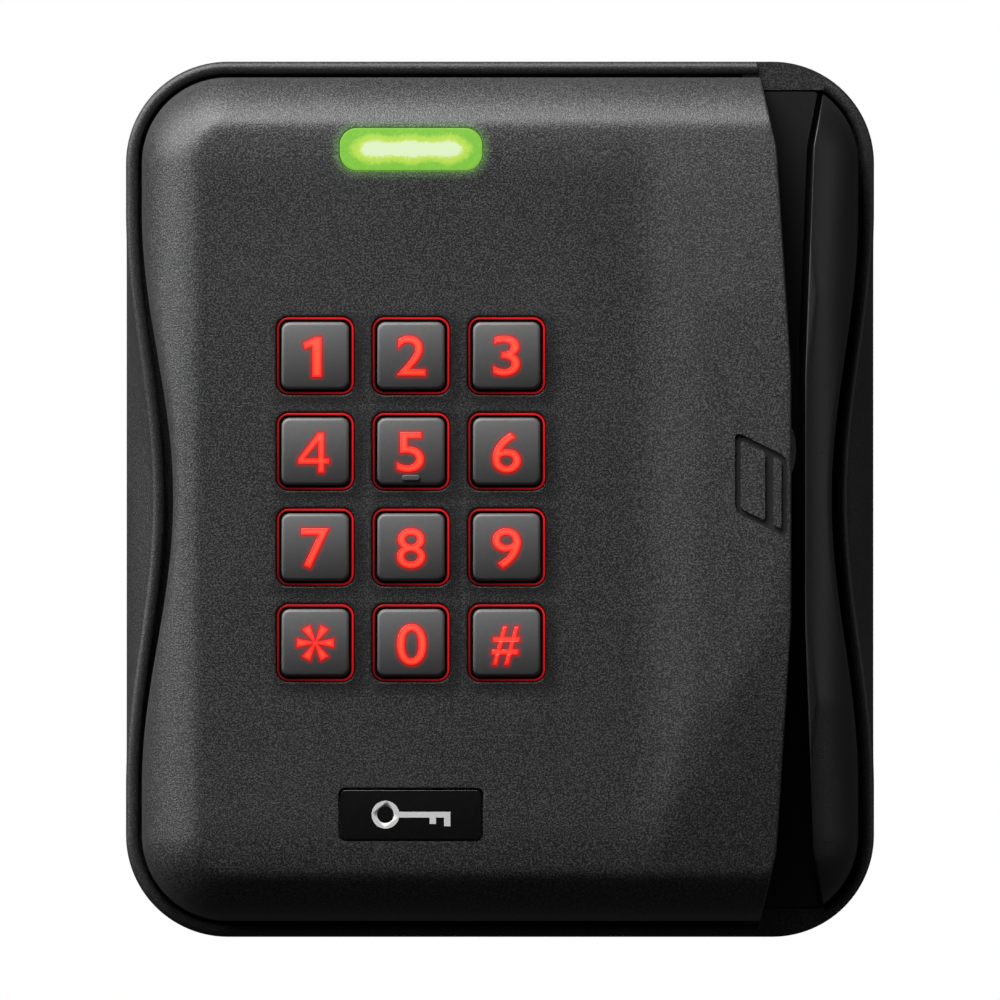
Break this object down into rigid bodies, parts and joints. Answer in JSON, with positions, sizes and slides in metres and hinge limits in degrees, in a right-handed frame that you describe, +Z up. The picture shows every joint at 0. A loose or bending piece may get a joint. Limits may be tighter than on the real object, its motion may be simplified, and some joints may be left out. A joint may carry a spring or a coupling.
{
  "type": "keypad access reader",
  "caption": "Wall-mounted black access reader with a backlit numeric keypad, a lit status window and a vertical card-swipe slot along one side.",
  "frame": {"origin": "centre of the mounting plate's wall face", "axes": "+Y into the wall, so the front faces -Y; +Z up; +X to the right seen from the front"},
  "size_m": [0.1294, 0.042, 0.1514],
  "materials": {
    "housing_black": "fine moulded grain, black",
    "cover_black": "sparkling fine moulded grain, charcoal black",
    "track_black": "smooth, near black",
    "key_grey": "satin dark grey with red lit legends",
    "red_light": "clear red light guide, lit",
    "green_light": "frosted window, lit green",
    "led_green": "small lamp body",
    "red_silicone": "translucent red silicone",
    "badge_black": "gloss black with a plain pale key sign",
    "zinc_steel": "zinc plated",
    "screw_steel": "plated screw steel",
    "head_steel": "polished head face",
    "spring_steel": "bright spring steel",
    "foam": "closed-cell foam",
    "black_rubber": "soft black rubber",
    "board_green": "solder-resist green laminate",
    "component_black": "black component moulding",
    "terminal_green": "green terminal moulding",
    "copper": "enamelled copper winding"
  },
  "bodies": {
    "reader": {"mounting_plate": "zinc_steel", "wall_gasket": "foam", "rear_housing": "housing_black", "front_cover": "cover_black", "rail_cover": "housing_black", "card_track": "track_black", "head_spring": "spring_steel", "head_bracket": "zinc_steel", "light_frame": "red_light", "keypad_mat": "red_silicone", "circuit_board": "board_green", "antenna_coil": "copper", "status_lens": "green_light", "badge_plate": "badge_black", "cable_grommet": "black_rubber", "processor_chip": "component_black", "beeper": "component_black", "terminal_block": "terminal_green", "lock_screw": "screw_steel", "status_led_1": "led_green", "status_led_2": "led_green", "status_led_3": "led_green", "case_screw_1": "screw_steel", "board_screw_1": "screw_steel", "case_screw_2": "screw_steel", "board_screw_2": "screw_steel", "case_screw_3": "screw_steel", "board_screw_3": "screw_steel", "case_screw_4": "screw_steel", "board_screw_4": "screw_steel"},
    "key_1_cap": {"key_1": "key_grey"},
    "key_2_cap": {"key_2": "key_grey"},
    "key_3_cap": {"key_3": "key_grey"},
    "key_4_cap": {"key_4": "key_grey"},
    "key_5_cap": {"key_5": "key_grey"},
    "key_6_cap": {"key_6": "key_grey"},
    "key_7_cap": {"key_7": "key_grey"},
    "key_8_cap": {"key_8": "key_grey"},
    "key_9_cap": {"key_9": "key_grey"},
    "key_star_cap": {"key_star": "key_grey"},
    "key_0_cap": {"key_0": "key_grey"},
    "key_hash_cap": {"key_hash": "key_grey"},
    "read_head": {"mag_head": "head_steel"}
  },
  "joints": [
    {"name": "key_1_press", "type": "slide", "parent": "reader", "child": "key_1_cap", "axis": [0, 1, 0], "range_m": [0, 0.0012], "stiffness_N_per_m": 600, "springref_m": -0.001, "deforming": ["keypad_mat"]},
    {"name": "key_2_press", "type": "slide", "parent": "reader", "child": "key_2_cap", "axis": [0, 1, 0], "range_m": [0, 0.0012], "stiffness_N_per_m": 600, "springref_m": -0.001, "deforming": ["keypad_mat"]},
    {"name": "key_3_press", "type": "slide", "parent": "reader", "child": "key_3_cap", "axis": [0, 1, 0], "range_m": [0, 0.0012], "stiffness_N_per_m": 600, "springref_m": -0.001, "deforming": ["keypad_mat"]},
    {"name": "key_4_press", "type": "slide", "parent": "reader", "child": "key_4_cap", "axis": [0, 1, 0], "range_m": [0, 0.0012], "stiffness_N_per_m": 600, "springref_m": -0.001, "deforming": ["keypad_mat"]},
    {"name": "key_5_press", "type": "slide", "parent": "reader", "child": "key_5_cap", "axis": [0, 1, 0], "range_m": [0, 0.0012], "stiffness_N_per_m": 600, "springref_m": -0.001, "deforming": ["keypad_mat"]},
    {"name": "key_6_press", "type": "slide", "parent": "reader", "child": "key_6_cap", "axis": [0, 1, 0], "range_m": [0, 0.0012], "stiffness_N_per_m": 600, "springref_m": -0.001, "deforming": ["keypad_mat"]},
    {"name": "key_7_press", "type": "slide", "parent": "reader", "child": "key_7_cap", "axis": [0, 1, 0], "range_m": [0, 0.0012], "stiffness_N_per_m": 600, "springref_m": -0.001, "deforming": ["keypad_mat"]},
    {"name": "key_8_press", "type": "slide", "parent": "reader", "child": "key_8_cap", "axis": [0, 1, 0], "range_m": [0, 0.0012], "stiffness_N_per_m": 600, "springref_m": -0.001, "deforming": ["keypad_mat"]},
    {"name": "key_9_press", "type": "slide", "parent": "reader", "child": "key_9_cap", "axis": [0, 1, 0], "range_m": [0, 0.0012], "stiffness_N_per_m": 600, "springref_m": -0.001, "deforming": ["keypad_mat"]},
    {"name": "key_star_press", "type": "slide", "parent": "reader", "child": "key_star_cap", "axis": [0, 1, 0], "range_m": [0, 0.0012], "stiffness_N_per_m": 600, "springref_m": -0.001, "deforming": ["keypad_mat"]},
    {"name": "key_0_press", "type": "slide", "parent": "reader", "child": "key_0_cap", "axis": [0, 1, 0], "range_m": [0, 0.0012], "stiffness_N_per_m": 600, "springref_m": -0.001, "deforming": ["keypad_mat"]},
    {"name": "key_hash_press", "type": "slide", "parent": "reader", "child": "key_hash_cap", "axis": [0, 1, 0], "range_m": [0, 0.0012], "stiffness_N_per_m": 600, "springref_m": -0.001, "deforming": ["keypad_mat"]},
    {"name": "head_float", "type": "slide", "parent": "reader", "child": "read_head", "axis": [-1, 0, 0], "range_m": [0, 0.0008], "stiffness_N_per_m": 1200, "springref_m": -0.0006, "deforming": ["head_spring"]}
  ]
}
